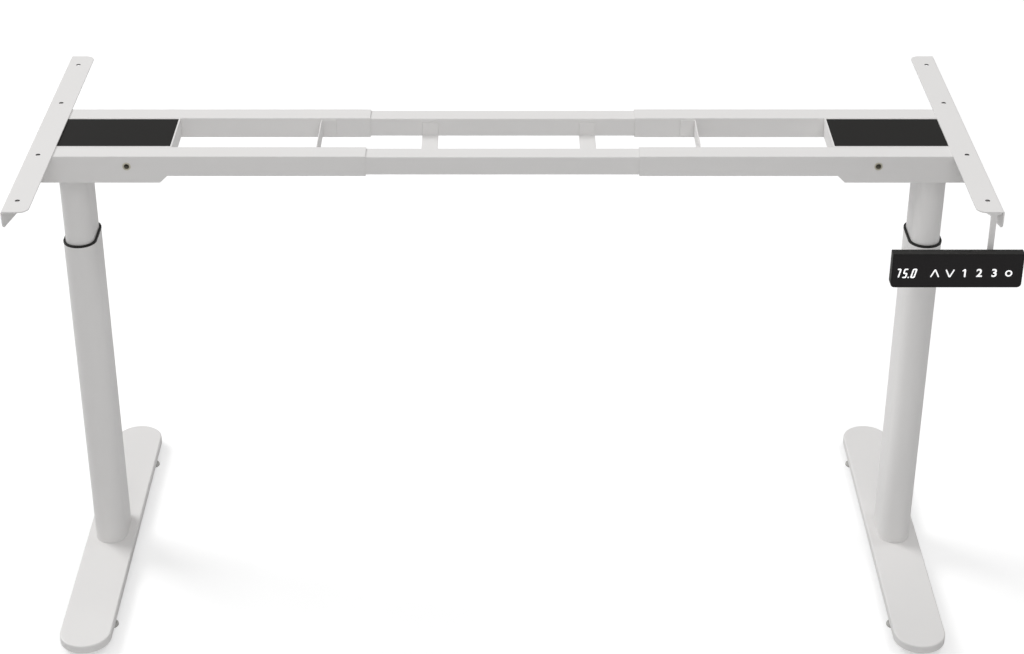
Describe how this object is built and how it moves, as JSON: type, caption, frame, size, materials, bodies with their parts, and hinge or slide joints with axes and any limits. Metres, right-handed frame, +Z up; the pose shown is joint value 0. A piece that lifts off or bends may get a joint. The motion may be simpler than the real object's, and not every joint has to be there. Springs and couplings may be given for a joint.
{
  "type": "standing desk frame",
  "caption": "Height-adjustable desk frame: motorised oval lifting columns on flat feet, joined by a crossbar that telescopes in width, with a button handset.",
  "frame": {"origin": "on the floor, at the middle of the whole length and depth; the frame's own middle is at X = -0.01535, because the handset reaches past the right side", "axes": "+X to the user's right along the crossbar, +Y to the rear, +Z up"},
  "size_m": [1.5192, 0.68, 0.792],
  "materials": {
    "white_paint": "fine satin powder coat, warm white",
    "black_plastic": "moulded, lightly grained",
    "steel": "bright machined",
    "motor_paint": "dark satin coat",
    "brass": "machined",
    "nylon": "natural moulded",
    "glossy_black": "polished black panel",
    "zinc_steel": "zinc plated"
  },
  "bodies": {
    "left_leg": {"left_lower_tube": "white_paint", "left_collar": "black_plastic", "left_nut_tube": "steel", "left_spindle_nut": "brass", "left_foot": "white_paint", "left_foot_screws": "zinc_steel"},
    "right_leg": {"right_lower_tube": "white_paint", "right_collar": "black_plastic", "right_nut_tube": "steel", "right_spindle_nut": "brass", "right_foot": "white_paint", "right_foot_screws": "zinc_steel"},
    "left_side": {"left_outer_front_rail": "white_paint", "left_outer_rear_rail": "white_paint", "left_bracket": "white_paint", "left_screws": "zinc_steel", "left_motor_box": "white_paint", "left_motor_cover": "black_plastic", "left_cross_web": "white_paint", "left_thread_insert": "brass", "left_motor": "motor_paint", "left_gear_housing": "motor_paint", "left_upper_tube": "white_paint"},
    "right_side": {"right_outer_front_rail": "white_paint", "right_outer_rear_rail": "white_paint", "right_bracket": "white_paint", "right_screws": "zinc_steel", "right_motor_box": "white_paint", "right_motor_cover": "black_plastic", "right_cross_web": "white_paint", "right_thread_insert": "brass", "right_motor": "motor_paint", "right_gear_housing": "motor_paint", "right_upper_tube": "white_paint", "handset_case": "black_plastic", "handset_panel": "glossy_black", "handset_hanger": "white_paint"},
    "crossbar": {"inner_front_rail": "white_paint", "inner_rear_rail": "white_paint", "cross_straps": "white_paint"},
    "left_spindle_turn": {"left_spindle": "steel"},
    "left_output": {"left_carrier": "steel"},
    "left_sun": {"left_sun_gear": "steel"},
    "left_planet_1_turn": {"left_planet_1": "nylon"},
    "left_planet_2_turn": {"left_planet_2": "nylon"},
    "left_planet_3_turn": {"left_planet_3": "nylon"},
    "left_level_1": {"left_leveller_1": "nylon"},
    "left_level_2": {"left_leveller_2": "nylon"},
    "left_level_3": {"left_leveller_3": "nylon"},
    "left_level_4": {"left_leveller_4": "nylon"},
    "right_spindle_turn": {"right_spindle": "steel"},
    "right_output": {"right_carrier": "steel"},
    "right_sun": {"right_sun_gear": "steel"},
    "right_planet_1_turn": {"right_planet_1": "nylon"},
    "right_planet_2_turn": {"right_planet_2": "nylon"},
    "right_planet_3_turn": {"right_planet_3": "nylon"},
    "right_level_1": {"right_leveller_1": "nylon"},
    "right_level_2": {"right_leveller_2": "nylon"},
    "right_level_3": {"right_leveller_3": "nylon"},
    "right_level_4": {"right_leveller_4": "nylon"}
  },
  "joints": [
    {"name": "left_lift", "type": "slide", "parent": "left_leg", "child": "left_side", "axis": [0, 0, 1], "range_m": [-0.13, 0.328]},
    {"name": "left_width", "type": "slide", "parent": "left_side", "child": "crossbar", "axis": [1, 0, 0], "range_m": [-0.08, 0.17]},
    {"name": "right_width", "type": "slide", "parent": "crossbar", "child": "right_side", "axis": [1, 0, 0], "range_m": [-0.06, 0.17]},
    {"name": "right_lift", "type": "slide", "parent": "right_side", "child": "right_leg", "axis": [0, 0, -1], "range_m": [-0.13, 0.328]},
    {"name": "left_spindle_spin", "type": "hinge", "parent": "left_side", "child": "left_spindle_turn", "pos_m": [-0.70185, 0, 0.7665], "axis": [0, 0, 1], "range_deg": [-5851, 14761]},
    {"name": "left_output_spin", "type": "hinge", "parent": "left_side", "child": "left_output", "pos_m": [-0.67185, 0, 0.7665], "axis": [1, 0, 0], "range_deg": [-5851, 14761]},
    {"name": "left_sun_spin", "type": "hinge", "parent": "left_side", "child": "left_sun", "pos_m": [-0.65385, 0, 0.7665], "axis": [1, 0, 0], "range_deg": [-23401, 59041]},
    {"name": "left_planet_1_spin", "type": "hinge", "parent": "left_output", "child": "left_planet_1_turn", "pos_m": [-0.65385, 0, 0.7569], "axis": [1, 0, 0], "range_deg": [-44281, 17551]},
    {"name": "left_planet_2_spin", "type": "hinge", "parent": "left_output", "child": "left_planet_2_turn", "pos_m": [-0.65385, 0.00831, 0.7713], "axis": [1, 0, 0], "range_deg": [-44281, 17551]},
    {"name": "left_planet_3_spin", "type": "hinge", "parent": "left_output", "child": "left_planet_3_turn", "pos_m": [-0.65385, -0.00831, 0.7713], "axis": [1, 0, 0], "range_deg": [-44281, 17551]},
    {"name": "left_level_1", "type": "slide", "parent": "left_leg", "child": "left_level_1", "axis": [0, 0, -1], "range_m": [0, 0.008]},
    {"name": "left_level_2", "type": "slide", "parent": "left_leg", "child": "left_level_2", "axis": [0, 0, -1], "range_m": [0, 0.008]},
    {"name": "left_level_3", "type": "slide", "parent": "left_leg", "child": "left_level_3", "axis": [0, 0, -1], "range_m": [0, 0.008]},
    {"name": "left_level_4", "type": "slide", "parent": "left_leg", "child": "left_level_4", "axis": [0, 0, -1], "range_m": [0, 0.008]},
    {"name": "right_spindle_spin", "type": "hinge", "parent": "right_side", "child": "right_spindle_turn", "pos_m": [0.67115, 0, 0.7665], "axis": [0, 0, 1], "range_deg": [-5851, 14761]},
    {"name": "right_output_spin", "type": "hinge", "parent": "right_side", "child": "right_output", "pos_m": [0.64115, 0, 0.7665], "axis": [-1, 0, 0], "range_deg": [-5851, 14761]},
    {"name": "right_sun_spin", "type": "hinge", "parent": "right_side", "child": "right_sun", "pos_m": [0.62315, 0, 0.7665], "axis": [-1, 0, 0], "range_deg": [-23401, 59041]},
    {"name": "right_planet_1_spin", "type": "hinge", "parent": "right_output", "child": "right_planet_1_turn", "pos_m": [0.62315, 0, 0.7569], "axis": [-1, 0, 0], "range_deg": [-44281, 17551]},
    {"name": "right_planet_2_spin", "type": "hinge", "parent": "right_output", "child": "right_planet_2_turn", "pos_m": [0.62315, 0.00831, 0.7713], "axis": [-1, 0, 0], "range_deg": [-44281, 17551]},
    {"name": "right_planet_3_spin", "type": "hinge", "parent": "right_output", "child": "right_planet_3_turn", "pos_m": [0.62315, -0.00831, 0.7713], "axis": [-1, 0, 0], "range_deg": [-44281, 17551]},
    {"name": "right_level_1", "type": "slide", "parent": "right_leg", "child": "right_level_1", "axis": [0, 0, -1], "range_m": [0, 0.008]},
    {"name": "right_level_2", "type": "slide", "parent": "right_leg", "child": "right_level_2", "axis": [0, 0, -1], "range_m": [0, 0.008]},
    {"name": "right_level_3", "type": "slide", "parent": "right_leg", "child": "right_level_3", "axis": [0, 0, -1], "range_m": [0, 0.008]},
    {"name": "right_level_4", "type": "slide", "parent": "right_leg", "child": "right_level_4", "axis": [0, 0, -1], "range_m": [0, 0.008]}
  ],
  "couplings": [
    {"joint": "right_lift", "follows": "left_lift", "ratio": 1},
    {"joint": "left_spindle_spin", "follows": "left_lift", "rad_per_m": 785.4},
    {"joint": "left_output_spin", "follows": "left_lift", "rad_per_m": 785.4},
    {"joint": "left_sun_spin", "follows": "left_lift", "rad_per_m": 3141.6},
    {"joint": "left_planet_1_spin", "follows": "left_lift", "rad_per_m": -2356.2},
    {"joint": "left_planet_2_spin", "follows": "left_lift", "rad_per_m": -2356.2},
    {"joint": "left_planet_3_spin", "follows": "left_lift", "rad_per_m": -2356.2},
    {"joint": "right_spindle_spin", "follows": "left_lift", "rad_per_m": 785.4},
    {"joint": "right_output_spin", "follows": "left_lift", "rad_per_m": 785.4},
    {"joint": "right_sun_spin", "follows": "left_lift", "rad_per_m": 3141.6},
    {"joint": "right_planet_1_spin", "follows": "left_lift", "rad_per_m": -2356.2},
    {"joint": "right_planet_2_spin", "follows": "left_lift", "rad_per_m": -2356.2},
    {"joint": "right_planet_3_spin", "follows": "left_lift", "rad_per_m": -2356.2}
  ]
}
